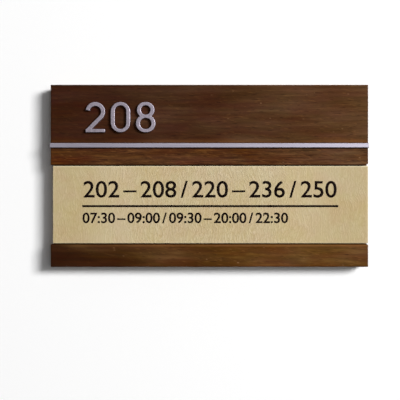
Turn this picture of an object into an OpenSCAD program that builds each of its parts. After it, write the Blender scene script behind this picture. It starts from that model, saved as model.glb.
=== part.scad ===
// Door name sign: hardwood bars on a plywood back board, an aluminium trim strip, raised room
// numerals, and a leather-faced name panel that slides out to the right between two guide rails.
// Each piece is drawn on the bench: X to the right, Y up the face, Z out from the wall.
// hang() then stands it on the wall, so the finished sign has +Z up and its front towards -Y.
// The origin is the centre of the back face.

/* [Face layout] */
// Width of the hardwood bars
sign_w = 200; // [150:1:320]
// Height of the header bar, which carries the numerals
header_h = 36.75; // [28:0.25:70]
// Thickness of the trim strip, seen edge on as its height on the face
strip_t = 3; // [1.5:0.5:6]
// Height of the upper guide rail
upper_rail_h = 10.9; // [9.5:0.1:30]
// Clear height between the two guide rails
window_h = 49.7; // [30:0.1:100]
// Height of the lower guide rail
lower_rail_h = 14.4; // [13:0.1:35]

/* [Hardwood bars] */
// Depth of the bars from the back board to their front face
bar_t = 10; // [8:0.5:20]
// Radius of the eased front edges
edge_ease = 0.6; // [0.2:0.1:1.5]
// Radius of the lower rail's upper front edge, which fingers rub when they slide the panel
lip_ease = 1.2; // [0.3:0.1:2]
// Radius of the outer corners of the bars, seen from the front
corner_r = 0.6; // [0.2:0.1:2]
// Radius of the upper rail's corner at the mouth that the panel slides out of
upper_mouth_r = 2; // [0.5:0.1:3]
// Radius of the lower rail's corner at that mouth
lower_mouth_r = 1; // [0.5:0.1:3]

/* [Trim strip] */
// How far the strip stands proud of the bars' front face
strip_proud = 2; // [0.5:0.5:5]
// How far each end of the strip stands out past the bars
strip_overhang = 0.2; // [0:0.1:2]
// Radius of the strip's front edges
strip_ease = 0.4; // [0.1:0.1:0.7]

/* [Back board] */
// Thickness of the plywood back board
board_t = 6; // [5:0.5:12]
// How far the board's edges stay inside the outline of the bars
board_inset = 3; // [0:0.5:4]
// Radius of the board's corners
board_corner_r = 2; // [0.5:0.5:8]
// Diameter of the two wall screw holes
wall_hole_d = 4.5; // [3:0.5:6]
// Diameter of the wall screw holes' countersinks
wall_sink_d = 9; // [7:0.5:12]
// Distance of the wall screw holes from the board's ends
wall_hole_inset = 27; // [8:1:40]

/* [Name panel] */
// Distance of the panel's left end inside the bars' left end, where the stop holds it
panel_setback = 1.2; // [0:0.1:5]
// Gap between the leather and each rail, seen on the face
panel_gap = 0.4; // [0.2:0.1:2]
// How far the leather lies behind the bars' front face
panel_recess = 0.5; // [0:0.1:3]
// Thickness of the leather
leather_t = 1.1; // [0.6:0.1:2]
// Radius of the leather where it turns over the panel's edges
leather_turn_r = 1; // [0.3:0.1:1.5]
// Thickness of the tongues that run in the rails
tongue_t = 3; // [2:0.5:4]
// How far the tongues reach into the rails
tongue_reach = 3; // [1.5:0.5:4]
// Running clearance of the panel in its guides
slide_gap = 0.3; // [0.1:0.05:0.6]

/* [Stop and catch] */
// Diameter of the stop pin at the left end of the slide
stop_d = 3; // [2:0.5:5]
// Height of the stop pin above the back board
stop_proud = 2; // [1:0.5:2.5]
// Depth of the stop pin in the back board
stop_depth = 4; // [2:0.5:4.5]
// Distance of the stop pin from the panel's left end
stop_inset = 8; // [4.5:0.5:15]
// Diameter of the catch magnets and of the steel plates that they hold
catch_d = 8; // [5:0.5:12]
// Thickness of the catch magnets
magnet_t = 3; // [1.5:0.5:4]
// Thickness of the catch plates
plate_t = 1; // [0.5:0.1:1.5]
// Distance of each catch from the wall screw hole beside it
catch_spacing = 30; // [15:1:40]

/* [Numerals] */
// Height of the numerals
numeral_h = 19; // [14:0.5:24]
// Width of each numeral
numeral_w = 12.2; // [8:0.1:15]
// Width of the strokes that stand upright or lean
stroke = 2.5; // [2:0.1:3.2]
// Width of the strokes that lie across, at the top, waist and foot
stroke_across = 2.1; // [1.8:0.1:3]
// Thickness of the numerals
numeral_t = 3; // [2.5:0.5:6]
// Clear gap between two numerals
numeral_gap = 3.6; // [1:0.1:8]
// Distance of the first numeral from the header's left end
numeral_inset = 22.3; // [5:0.1:40]
// Distance of the numerals' middle below the header's middle
numeral_drop = 2.2; // [0:0.1:4]
// Diameter of the numerals' fixing pins
pin_d = 1.2; // [0.8:0.1:1.5]
// Length of a pin inside its numeral
pin_in_numeral = 1.8; // [1:0.1:2.2]
// Length of a pin inside the header
pin_in_header = 4; // [2:0.5:6]

/* [Assembly screws] */
// Diameter of the screws' shanks
screw_d = 2.5; // [2:0.5:3]
// Diameter of the screws' countersunk heads
screw_head_d = 5; // [4:0.5:5.5]
// Length of the screws' points
screw_point_l = 3; // [2:0.5:4]
// How deep the screws bite into the bars
screw_bite = 6; // [4:0.5:7]
// Distance of the end screws from the board's ends
screw_inset = 15; // [6:1:25]
// Depth of the screw heads below the board's back face
screw_sink = 0.2; // [0:0.1:0.5]
// Width of the cross slot in the screw heads
slot_w = 0.7; // [0.5:0.1:1]
// Depth of that slot
slot_depth = 0.8; // [0.4:0.1:1]
// Radial clearance of pins, screws, magnets and plates in their holes
fit_gap = 0.05; // [0.02:0.01:0.1]

/* [Hidden] */
$fn = 96;
// Overshoot of a cut past the face that it opens
past = 1;
// Angle round the two's bowl at which its tip is cut off
bowl_tip_a = 170;
// Size of the eight's upper loop against its lower one
upper_loop_share = 0.9;
// Colours of the materials
hardwood = "#4b2d18";
birch = "#c7a878";
aluminium = "#b8b3c0";
leather = "#c6b38d";
fibreboard = "#7d5d3e";
steel = "#8f9296";
nickel = "#a9aaac";

// Heights on the face, from the top edge down
face_h = header_h + strip_t + upper_rail_h + window_h + lower_rail_h;
top_y = face_h / 2;
strip_top_y = top_y - header_h;
strip_bottom_y = strip_top_y - strip_t;
window_top_y = strip_bottom_y - upper_rail_h;
window_bottom_y = window_top_y - window_h;
window_mid_y = (window_top_y + window_bottom_y) / 2;
bottom_y = window_bottom_y - lower_rail_h;

// Depths from the wall outwards
face_z = board_t + bar_t;
panel_back_z = board_t + slide_gap;
tongue_front_z = panel_back_z + tongue_t;
lip_z = tongue_front_z + slide_gap;
leather_face_z = face_z - panel_recess;
field_front_z = leather_face_z - leather_t;

// Rebate in a rail that a tongue runs in
rebate_h = tongue_reach + slide_gap;

// Back board outline
board_w = sign_w - 2 * board_inset;
board_h = face_h - 2 * board_inset;

// Name panel outline
panel_left_x = panel_setback - sign_w / 2;
panel_w = sign_w - panel_setback;
leather_h = window_h - 2 * panel_gap;
field_w = panel_w - 2 * leather_t;
field_h = leather_h - 2 * leather_t;
stop_x = panel_left_x + stop_inset;
stop_slot_r = stop_d / 2 + slide_gap;
// The clearance behind the panel is left again above the pin, so the slot is as deep as the pin
// is proud
stop_slot_depth = stop_proud;

// Places of the fasteners and catches
screw_l = board_t - screw_sink + screw_bite;
end_screw_x = board_w / 2 - screw_inset;
screw_xs = [-end_screw_x, 0, end_screw_x];
header_screw_y = (top_y - board_inset + strip_top_y) / 2;
upper_screw_y = (window_top_y + rebate_h + strip_bottom_y) / 2;
lower_screw_y = (bottom_y + board_inset + window_bottom_y - rebate_h) / 2;
wall_hole_x = board_w / 2 - wall_hole_inset;
wall_hole_xs = [-wall_hole_x, wall_hole_x];
catch_xs = [catch_spacing - wall_hole_x, wall_hole_x - catch_spacing];

// Numeral cells: the middle of each foot on the face
numeral_foot_y = (top_y + strip_top_y) / 2 - numeral_drop - numeral_h / 2;
numeral_xs = [
    for (i = [0:2])
        -sign_w / 2 + numeral_inset + numeral_w / 2 + i * (numeral_w + numeral_gap)
];
pin_heights = [stroke_across / 2, numeral_h - stroke_across / 2];

// Stands a piece drawn on the bench against the wall
module hang() { rotate([90, 0, 0]) children(); }

// What a rounded corner removes from a square one at the origin
module corner_waste(r) {
    difference() {
        translate([-past, -past]) square(r + past);
        translate([r, r]) circle(r);
    }
}

// Rectangle with its own radius at each corner: bottom left, bottom right, top right, top left
module cornered(size, radii) {
    difference() {
        square(size);
        if (radii[0] > 0) corner_waste(radii[0]);
        if (radii[1] > 0) translate([size.x, 0]) rotate(90) corner_waste(radii[1]);
        if (radii[2] > 0) translate([size.x, size.y]) rotate(180) corner_waste(radii[2]);
        if (radii[3] > 0) translate([0, size.y]) rotate(270) corner_waste(radii[3]);
    }
}

// Block with rounded corners on its face and eased edges all round its front, with its own ease
// along the upper one
module eased_block(size, radii, ease, upper_ease) {
    intersection() {
        linear_extrude(size.z) cornered([size.x, size.y], radii);
        rotate([90, 0, 90]) linear_extrude(size.x) cornered([size.y, size.z], [0, 0, upper_ease, ease]);
        translate([0, size.y, 0]) rotate([90, 0, 0])
            linear_extrude(size.y) cornered([size.x, size.z], [0, 0, ease, ease]);
    }
}

// Hardwood bar of the full sign width, with its back on the back board
module hardwood_bar(low_y, height, radii, upper_ease = edge_ease) {
    translate([-sign_w / 2, low_y, board_t])
        eased_block([sign_w, height, bar_t], radii, edge_ease, upper_ease);
}

// Countersunk wood screw, head up at the origin and point towards +Z
module wood_screw() {
    head_h = (screw_head_d - screw_d) / 2;
    difference() {
        rotate_extrude() polygon([
            [0, 0], [screw_head_d / 2, 0], [screw_d / 2, head_h],
            [screw_d / 2, screw_l - screw_point_l], [0, screw_l]
        ]);
        for (turn = [0, 90]) rotate(turn)
            translate([-screw_d / 2, -slot_w / 2, -past]) cube([screw_d, slot_w, slot_depth + past]);
    }
}

// Hole that a wood screw fits: countersunk through the board, then a pilot hole in the bar
module screw_hole() {
    hole_d = screw_d + 2 * fit_gap;
    sink_d = screw_head_d + 2 * fit_gap;
    cylinder(h = screw_l + fit_gap, d = hole_d);
    cylinder(h = (sink_d - hole_d) / 2, d1 = sink_d, d2 = hole_d);
    translate([0, 0, -past]) cylinder(h = past, d = sink_d);
}

// A row of the assembly screws, or of their holes, behind one bar
module screw_row(row_y) {
    for (x = screw_xs) translate([x, row_y, screw_sink]) children();
}

// Rebate along the back of a rail that one tongue of the panel runs in
module tongue_rebate(low_y) {
    translate([-sign_w / 2 - past, low_y, board_t - past])
        cube([sign_w + 2 * past, rebate_h + past, lip_z - board_t + past]);
}

// Closed loop of strokes, w by h outside, with fully rounded ends
module loop(w, h) {
    difference() {
        rounded(w, h);
        rounded(w - 2 * stroke, h - 2 * stroke_across);
    }
}

// Rectangle about the origin whose shorter sides are half circles
module rounded(w, h) {
    r = min(w, h) / 2;
    if (w > h) square([w - 2 * r, h], center = true);
    if (h > w) square([w, h - 2 * r], center = true);
    for (side = [-1, 1]) translate([side * (w / 2 - r), side * (h / 2 - r)]) circle(r);
}

// Numeral outlines, standing on the X axis with their middle at the origin
module two() {
    bowl_r = numeral_w / 2;
    bowl = [0, numeral_h - bowl_r];
    mid_r = bowl_r - stroke / 2;
    foot = [stroke / 2 - bowl_r, stroke_across / 2];
    reach = foot - bowl;
    // The neck runs from the foot to where its middle line is tangent to the bowl's
    neck_a = atan2(reach.y, reach.x) + acos(mid_r / norm(reach));
    neck_l = sqrt(norm(reach) ^ 2 - mid_r ^ 2);
    tip_a = bowl_tip_a - neck_a;
    far = 2 * numeral_w;
    translate(bowl) rotate(neck_a) {
        difference() {
            circle(bowl_r);
            circle(bowl_r - stroke);
            polygon([[0, 0], far * [cos(tip_a), sin(tip_a)], [0, -far], [far, -far], [far, 0]]);
        }
        translate([bowl_r - stroke, -neck_l]) square([stroke, neck_l]);
    }
    translate([-bowl_r, 0]) square([numeral_w, stroke_across]);
}

module zero() {
    translate([0, numeral_h / 2]) loop(numeral_w, numeral_h);
}

module eight() {
    // The two loops share one stroke where they meet
    both_h = numeral_h + stroke_across;
    lower_h = both_h / (1 + upper_loop_share);
    upper_h = both_h - lower_h;
    translate([0, lower_h / 2]) loop(numeral_w, lower_h);
    translate([0, numeral_h - upper_h / 2]) loop(numeral_w * upper_loop_share, upper_h);
}

// Numeral cut from plate, with blind pin holes in its back, on the header's face
module numeral(place) {
    hang() color(aluminium) translate([numeral_xs[place], numeral_foot_y, face_z])
        difference() {
            linear_extrude(numeral_t) children();
            for (y = pin_heights) translate([0, y, -past])
                cylinder(h = pin_in_numeral + past, d = pin_d + 2 * fit_gap);
        }
}

module back_board() {
    hang() color(birch) difference() {
        translate([-board_w / 2, -board_h / 2, 0])
            linear_extrude(board_t) cornered([board_w, board_h], [for (i = [0:3]) board_corner_r]);
        for (y = [header_screw_y, upper_screw_y, lower_screw_y]) screw_row(y) screw_hole();
        for (x = wall_hole_xs) translate([x, window_mid_y, 0]) {
            sink_h = (wall_sink_d - wall_hole_d) / 2;
            translate([0, 0, -past]) cylinder(h = board_t + 2 * past, d = wall_hole_d);
            translate([0, 0, board_t - sink_h]) cylinder(h = sink_h, d1 = wall_hole_d, d2 = wall_sink_d);
            translate([0, 0, board_t]) cylinder(h = past, d = wall_sink_d);
        }
        for (x = catch_xs) translate([x, window_mid_y, board_t - magnet_t])
            cylinder(h = magnet_t + past, d = catch_d + 2 * fit_gap);
        translate([stop_x, window_mid_y, board_t - stop_depth])
            cylinder(h = stop_depth + past, d = stop_d + 2 * fit_gap);
    }
}

module header_board() {
    hang() color(hardwood) difference() {
        hardwood_bar(strip_top_y, header_h, [0, 0, corner_r, corner_r]);
        screw_row(header_screw_y) screw_hole();
        for (x = numeral_xs, y = pin_heights)
            translate([x, numeral_foot_y + y, face_z - pin_in_header])
                cylinder(h = pin_in_header + past, d = pin_d + 2 * fit_gap);
    }
}

module trim_strip() {
    strip_l = sign_w + 2 * strip_overhang;
    hang() color(aluminium) translate([-strip_l / 2, strip_bottom_y, board_t])
        eased_block([strip_l, strip_t, bar_t + strip_proud], [0, 0, 0, 0], strip_ease, strip_ease);
}

module upper_rail() {
    hang() color(hardwood) difference() {
        hardwood_bar(window_top_y, upper_rail_h, [corner_r, upper_mouth_r, 0, 0]);
        tongue_rebate(window_top_y - past);
        screw_row(upper_screw_y) screw_hole();
    }
}

module lower_rail() {
    hang() color(hardwood) difference() {
        hardwood_bar(bottom_y, lower_rail_h, [corner_r, corner_r, lower_mouth_r, corner_r], lip_ease);
        tongue_rebate(window_bottom_y - rebate_h);
        screw_row(lower_screw_y) screw_hole();
    }
}

module numeral_left() { numeral(0) two(); }

module numeral_middle() { numeral(1) zero(); }

module numeral_right() { numeral(2) eight(); }

module numeral_pins() {
    hang() color(steel) for (x = numeral_xs, y = pin_heights)
        translate([x, numeral_foot_y + y, face_z - pin_in_header])
            cylinder(h = pin_in_header + pin_in_numeral, d = pin_d);
}

// Core of the name panel: a back plate whose long edges are the tongues, and a raised field
module panel_core() {
    tongue_h = window_h + 2 * tongue_reach;
    hang() color(fibreboard) difference() {
        union() {
            translate([panel_left_x, window_mid_y - tongue_h / 2, panel_back_z])
                cube([panel_w, tongue_h, tongue_t]);
            translate([panel_left_x + leather_t, window_mid_y - field_h / 2, panel_back_z])
                cube([field_w, field_h, field_front_z - panel_back_z]);
        }
        for (x = catch_xs) translate([x, window_mid_y, panel_back_z - past])
            cylinder(h = plate_t + past, d = catch_d + 2 * fit_gap);
        // Slot for the stop pin, open at the panel's left end
        translate([stop_x, window_mid_y, panel_back_z - past])
            cylinder(h = stop_slot_depth + past, r = stop_slot_r);
        translate([panel_left_x - past, window_mid_y - stop_slot_r, panel_back_z - past])
            cube([stop_inset + past, 2 * stop_slot_r, stop_slot_depth + past]);
    }
}

// Leather facing, turned over the edges of the field down to the tongue plate
module panel_leather() {
    depth = leather_face_z - tongue_front_z;
    hang() color(leather) difference() {
        translate([panel_left_x, window_mid_y - leather_h / 2, tongue_front_z])
            eased_block([panel_w, leather_h, depth], [0, 0, 0, 0], leather_turn_r, leather_turn_r);
        translate([panel_left_x + leather_t, window_mid_y - field_h / 2, tongue_front_z - past])
            cube([field_w, field_h, depth - leather_t + past]);
    }
}

module stop_pin() {
    hang() color(steel) translate([stop_x, window_mid_y, board_t - stop_depth])
        cylinder(h = stop_depth + stop_proud, d = stop_d);
}

module catch_magnets() {
    hang() color(nickel) for (x = catch_xs)
        translate([x, window_mid_y, board_t - magnet_t]) cylinder(h = magnet_t, d = catch_d);
}

module catch_plates() {
    hang() color(steel) for (x = catch_xs)
        translate([x, window_mid_y, panel_back_z]) cylinder(h = plate_t, d = catch_d);
}

module header_screws() { hang() color(steel) screw_row(header_screw_y) wood_screw(); }

module upper_rail_screws() { hang() color(steel) screw_row(upper_screw_y) wood_screw(); }

module lower_rail_screws() { hang() color(steel) screw_row(lower_screw_y) wood_screw(); }

back_board();
header_board();
trim_strip();
upper_rail();
lower_rail();
numeral_left();
numeral_middle();
numeral_right();
numeral_pins();
panel_core();
panel_leather();
stop_pin();
catch_magnets();
catch_plates();
header_screws();
upper_rail_screws();
lower_rail_screws();
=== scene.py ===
# %% [markdown]
# # A door name sign in wood, leather and aluminium
# The solids come from the CAD pack, and this lesson gives them their finish. They could be imported and
# lined up by hand, but loading the pack puts every piece in its real place, in metres, so nothing has to be
# fitted by eye.

# %% Load the solids
import math
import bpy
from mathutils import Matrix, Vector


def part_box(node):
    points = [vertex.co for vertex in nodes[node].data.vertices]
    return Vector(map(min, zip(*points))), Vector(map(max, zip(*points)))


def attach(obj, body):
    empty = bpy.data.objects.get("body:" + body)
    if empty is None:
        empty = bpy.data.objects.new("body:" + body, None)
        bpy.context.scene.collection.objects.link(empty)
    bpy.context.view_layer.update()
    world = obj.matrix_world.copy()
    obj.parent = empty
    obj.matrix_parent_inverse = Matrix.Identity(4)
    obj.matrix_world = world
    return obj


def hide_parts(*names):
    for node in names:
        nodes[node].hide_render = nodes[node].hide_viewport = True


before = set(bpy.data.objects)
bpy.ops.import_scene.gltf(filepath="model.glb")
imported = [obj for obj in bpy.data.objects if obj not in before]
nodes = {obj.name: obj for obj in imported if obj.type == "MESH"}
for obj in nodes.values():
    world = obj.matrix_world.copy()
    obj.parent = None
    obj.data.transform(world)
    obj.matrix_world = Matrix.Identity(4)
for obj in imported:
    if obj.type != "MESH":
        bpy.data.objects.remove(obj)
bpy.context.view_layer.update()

from types import SimpleNamespace

import bmesh
import bpy
from mathutils import Matrix, Vector, noise

scene = bpy.context.scene
scene.view_settings.view_transform = "Standard"
MM = 0.001


def in_mm(lengths):
    """Gives lengths in millimetres, rounded for printing."""
    return [round(length / MM, 2) for length in lengths]


# %% [markdown]
# ## The camera
# The photograph looks straight at the sign, from a little below and left of its middle. The lens could be
# tried by eye, but three pixel measures give it at once: how wide the sign is in the picture, and where
# its middle falls. A distance of about two thirds of a metre gives the slight perspective of a close shot.

# %% Place the camera
PICTURE_PX = 400
SIGN_WIDTH_PX = 317.63
SIGN_MIDDLE_PX = (209.42, 175.86)
CAMERA_FAR = 0.68
SENSOR_WIDE_MM = 36.0
face_low, face_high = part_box("header_board")
metres_per_px = (face_high[0] - face_low[0]) / SIGN_WIDTH_PX
camera_data = bpy.data.cameras.new("front_camera")
camera_data.sensor_width = SENSOR_WIDE_MM
camera_data.lens = SENSOR_WIDE_MM * (CAMERA_FAR + face_low[1]) / (PICTURE_PX * metres_per_px)
camera = bpy.data.objects.new("front_camera", camera_data)
camera.location = (
    (PICTURE_PX / 2 - SIGN_MIDDLE_PX[0]) * metres_per_px,
    -CAMERA_FAR,
    (SIGN_MIDDLE_PX[1] - PICTURE_PX / 2) * metres_per_px,
)
camera.rotation_euler = (math.pi / 2, 0, 0)
scene.collection.objects.link(camera)
scene.camera = camera
print("lens in mm:", round(camera_data.lens, 1), "at", in_mm(camera.location))

# %% [markdown]
# ## Colours and nodes
# Every colour in this lesson is written as the sRGB hex value that a colour picker shows. Shaders work in
# linear light, so a hex value that is only divided by 255 would come out too pale. One function turns it
# into linear light for all of them.

# %% From hex to linear light
def linear(hex_colour):
    """Gives the linear RGBA of an sRGB hex colour."""
    parts = [int(hex_colour[start:start + 2], 16) / 255 for start in (1, 3, 5)]
    return [part / 12.92 if part <= 0.04045 else ((part + 0.055) / 1.055) ** 2.4 for part in parts] + [1.0]


print("middle grey in linear light:", [round(part, 3) for part in linear("#808080")])

# %% [markdown]
# Nodes could be placed by hand in the node editor, but a script is easier to read and to change later. One
# function fills in a node's inputs, by name or in the order in which the editor shows them: a plain value
# is typed in, and a node or a socket is linked. Another adds a node and fills it in, so a material comes
# down to about one line for each node.

# %% Helpers for nodes
def plug(node, inputs):
    """Fills in a node's inputs, where another node stands for its first output."""
    if isinstance(inputs, dict):
        pairs = [(node.inputs[name], value) for name, value in inputs.items()]
    else:
        pairs = zip([socket for socket in node.inputs if socket.enabled], inputs)
    for socket, value in pairs:
        if isinstance(value, bpy.types.Node):
            value = next(output for output in value.outputs if output.enabled)
        if isinstance(value, bpy.types.NodeSocket):
            node.id_data.links.new(value, socket)
        else:
            socket.default_value = value


def add(tree, kind, inputs=(), ramp=(), **settings):
    """Adds a shader node of a kind, such as Math, with its settings, its inputs and a ramp's stops."""
    node = tree.nodes.new("ShaderNode" + kind)
    for name, value in settings.items():
        setattr(node, name, value)
    plug(node, inputs)
    if ramp:
        stops = node.color_ramp.elements
        while len(stops) < len(ramp):
            stops.new(0.5)
        for stop, (place, colour) in zip(stops, ramp):
            stop.position = place
            stop.color = linear(colour)
    return node


def new_material(name):
    """Starts a material and gives back it, its node tree and its Principled shader."""
    material = bpy.data.materials.new(name)
    material.use_nodes = True
    return material, material.node_tree, material.node_tree.nodes["Principled BSDF"]


print("plain materials to be replaced:", sorted({node.material_slots[0].name for node in nodes.values()}))

# %% [markdown]
# ## The wall and its surround
# The sign hangs on a white wall, which takes its soft shadow. A plain white plane would do from the front,
# but the sign is also looked at from behind, so the wall lets the view through from its back.

# %% Paint the wall
# The paint is matt white, without any shine.
wall_paint, tree, shader = new_material("wall_paint")
plug(shader, {"Base Color": linear("#ffffff"), "Roughness": 0.9, "Specular IOR Level": 0.0})
from_behind = add(tree, "NewGeometry").outputs["Backfacing"]
clear = add(tree, "BsdfTransparent")
both = add(tree, "MixShader", (from_behind, shader, clear))
plug(tree.nodes["Material Output"], {"Surface": both})
print("wall paint nodes:", len(tree.nodes))

# %% [markdown]
# A pale surround closes the room behind the views from the side. It could simply be white, but metal would
# then shine like a mirror in a white box. A Light Path node lets the metal see it dimmer than the camera
# does, as a real room would be: dark straight ahead of the sign, and brighter to its sides.

# %% Paint the surround
# To the camera, the surround is an even, pale backdrop.
ROOM_AHEAD = 0.28
ROOM_ASIDE = 0.8
AHEAD_WITHIN = 1.4
ASIDE_BEYOND = 2.8
ACROSS = (1, 0, 1)
surround_paint, tree, shader = new_material("surround_paint")
ray = add(tree, "LightPath").outputs
spot = add(tree, "TexCoord").outputs["Object"]
flat_spot = add(tree, "VectorMath", (spot, ACROSS), operation="MULTIPLY")
off_axis = add(tree, "VectorMath", [flat_spot], operation="LENGTH")
room_tone = add(tree, "MapRange", (off_axis, AHEAD_WITHIN, ASIDE_BEYOND, ROOM_AHEAD, ROOM_ASIDE))
seen = add(tree, "Math", (ray["Is Glossy Ray"], room_tone, ray["Is Camera Ray"]), operation="MULTIPLY_ADD")
glow = add(tree, "Emission", (linear("#f2f2f2"), seen))
plug(tree.nodes["Material Output"], {"Surface": glow})
print("surround paint nodes:", len(tree.nodes))

# %% [markdown]
# Both are stage pieces and no part of the sign. They could stay ordinary objects, but then they would throw
# light and shadow of their own on it, so the ray switches that let them are turned off. The wall hangs a
# hair behind the sign, because two faces in one plane would flicker.

# %% Hang the wall and close the room
WALL_HALF = 2.0
WALL_GAP = 0.3 * MM
ROOM_WIDE = 6.0


def stage_piece(name, shell, material, in_metal):
    """Makes a stage piece that the camera sees, and the metal too if asked, but that lights nothing."""
    mesh = bpy.data.meshes.new(name)
    shell.to_mesh(mesh)
    shell.free()
    mesh.materials.append(material)
    piece = bpy.data.objects.new(name, mesh)
    scene.collection.objects.link(piece)
    piece.visible_diffuse = False
    piece.visible_glossy = in_metal
    piece.visible_transmission = False
    piece.visible_shadow = False
    return piece


plane = bmesh.new()
upright = Matrix.Translation((0, WALL_GAP, 0)) @ Matrix.Rotation(math.pi / 2, 4, "X")
bmesh.ops.create_grid(plane, x_segments=1, y_segments=1, size=WALL_HALF, matrix=upright)
wall = stage_piece("wall", plane, wall_paint, in_metal=False)
room = bmesh.new()
bmesh.ops.create_cube(room, size=ROOM_WIDE)
stage_piece("surround", room, surround_paint, in_metal=True)
print("wall normal:", [round(axis, 2) for axis in wall.data.polygons[0].normal])

# %% [markdown]
# ## The light
# The shadow tells where the lamp stood. It falls left and a little down and fades out over some 13 mm, so
# one broad soft lamp stood to the right, a little above. A point lamp would give a hard shadow instead. A
# weak lamp almost straight ahead opens the shadows and is kept out of the metal, and the world fills the
# rest. A last lamp, behind the wall, only serves the views from behind: no face that the camera sees from
# the front is turned to it.

# %% Light the sign
LAMP_FAR = 4.0
WORLD_FILL = 0.07


def soft_lamp(name, aside, up, size, power, front=True, in_metal=True):
    """Adds a soft lamp, turned to the sign, by its angles in degrees from the sign's own front or back."""
    data = bpy.data.lights.new(name, "AREA")
    data.shape = "RECTANGLE"
    data.size, data.size_y = size
    data.energy = power
    lamp = bpy.data.objects.new(name, data)
    aside, up = math.radians(aside), math.radians(up)
    way = Vector((math.sin(aside) * math.cos(up), -math.cos(aside) * math.cos(up), math.sin(up)))
    if not front:
        way.y = -way.y
    lamp.location = way * LAMP_FAR
    lamp.rotation_euler = way.to_track_quat("Z", "Y").to_euler()
    lamp.visible_glossy = in_metal
    scene.collection.objects.link(lamp)
    return lamp


key_lamp = soft_lamp("key_lamp", aside=34, up=13.3, size=(1.37, 0.87), power=166)
soft_lamp("fill_lamp", aside=14, up=0, size=(1.6, 1.2), power=20, in_metal=False)
soft_lamp("back_lamp", aside=10, up=50, size=(2.4, 2.4), power=130, front=False)
world = bpy.data.worlds.new("studio")
world.use_nodes = True
plug(world.node_tree.nodes["Background"], {"Color": linear("#ffffff"), "Strength": WORLD_FILL})
scene.world = world
print("key lamp in mm:", in_mm(key_lamp.location), "world fill:", WORLD_FILL)

# %% [markdown]
# ## Dark hardwood
# The header and the two rails are cut from a dark, fine-pored hardwood and oiled. A picture of wood would
# show the same face on every side, so the grain is a solid pattern instead: noise drawn out along the bar to
# real sizes, and growth rings round a pith line. An end cut then shows rings by itself. Every plank has its
# own pith, tilt and size of streaks, as three real ones would, and its tone turns from dark at the left to
# paler at the right somewhere along the bar: partly the wood's own tone, and partly a painted sheen of the
# lamp, which stands to the right.

# %% The patterns in a plank
# Each pattern has its size along, into and up the bar, in millimetres, and its detail. Real pores are about
# 0.15 mm wide, and these are drawn coarser so that they show.
WOOD_PATTERNS = {
    "fibre": ((16.0, 0.6, 0.55), 3.0),
    "pore": ((5.5, 0.7, 0.6), 1.0),
    "fleck": ((4.5, 0.9, 0.7), 2.0),
    "patch": ((24.0, 9.0, 6.0), 2.0),
    "cloud": ((55.0, 16.0, 11.0), 2.0),
}
STREAK_DETAIL = 4.0
GRAIN_WAVER = 0.25
FLECKS_FROM_MM = (40, 9, 5)
RING_MM = 3.1
RING_WAVER = {"Distortion": 5.0, "Detail": 3.0, "Detail Scale": 0.35}
# One wave of Blender's wave pattern is this long where its scale is 1.
WAVE_LONG = 2 * math.pi / 20
RAGGED = 160 * MM


def plank_patterns(tree, plank):
    """Reads a plank's patterns, its height, and how far along it has turned from its left tones to its paler
    right ones.
    """
    spot = add(tree, "TexCoord").outputs["Object"]
    place = add(tree, "SeparateXYZ", [spot]).outputs
    tilt = (0, math.radians(plank.tilt), 0)
    lean = (0, math.radians(-plank.lean), 0)
    from_pith = add(tree, "Mapping", (spot, plank.pith, tilt, (1 / MM,) * 3))
    leaning = add(tree, "Mapping", (from_pith, FLECKS_FROM_MM, lean))
    wood = SimpleNamespace(height=place["Z"], leaning=leaning)
    for name, (size, detail) in {**WOOD_PATTERNS, "streak": (plank.figure, STREAK_DETAIL)}.items():
        start = leaning if name == "fleck" else from_pith
        shrunk = add(tree, "VectorMath", (start, [1 / length for length in size]), operation="MULTIPLY")
        reading = {"Vector": shrunk, "Scale": 1.0, "Detail": detail, "Distortion": GRAIN_WAVER}
        setattr(wood, name, add(tree, "TexNoise", reading))
    rings = {"Vector": from_pith, "Scale": WAVE_LONG / RING_MM, **RING_WAVER}
    wood.ring = add(tree, "TexWave", rings, wave_type="RINGS", rings_direction="X").outputs["Fac"]
    ragged = add(tree, "Math", (wood.cloud, RAGGED, place["X"]), operation="MULTIPLY_ADD")
    begins, ends = (x * MM + RAGGED / 2 for x in plank.change)
    wood.along = add(tree, "MapRange", (ragged, begins, ends))
    return wood


print("patterns:", sorted(WOOD_PATTERNS), "and streaks, with rings every", RING_MM, "mm")

# %% [markdown]
# The patterns are then added up to one tone, from dark to pale. A single noise could give it, but real
# wood has several scales at once: streaks and fibres swing to both sides of the tone, and clouds and rings
# lift it slowly. Streaks are strong in some patches and almost gone in others.

# %% The tone of a plank
STREAK_PATCHES = (0.4, 0.62)
FAINT_STREAK = 0.25
LIVELY_FROM = 0.3
MIDDLE = 0.5
BASE_TONE = 0.345
CLOUD_SHARE = 0.25
RING_SHARE = 0.06


def plank_tone(tree, plank, wood):
    """Adds up streaks, fibres, clouds and rings to the tone of a plank."""
    patchy = add(tree, "MapRange", (wood.patch, *STREAK_PATCHES, FAINT_STREAK, 1.0))
    lively = add(tree, "MapRange", (wood.along, LIVELY_FROM, 1.0, *plank.streaks))
    streak_share = add(tree, "Math", (patchy, lively), operation="MULTIPLY")
    fibre_share = add(tree, "MapRange", (wood.along, LIVELY_FROM, 1.0, *plank.fibres))
    streak = add(tree, "Math", (wood.streak, MIDDLE), operation="SUBTRACT")
    fibre = add(tree, "Math", (wood.fibre, MIDDLE), operation="SUBTRACT")
    tone = BASE_TONE
    for pattern, share in ((streak, streak_share), (fibre, fibre_share),
                           (wood.cloud, CLOUD_SHARE), (wood.ring, RING_SHARE)):
        tone = add(tree, "Math", (pattern, share, tone), operation="MULTIPLY_ADD")
    return tone


print("tone with every pattern at its middle:", BASE_TONE + MIDDLE * (CLOUD_SHARE + RING_SHARE))
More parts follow.
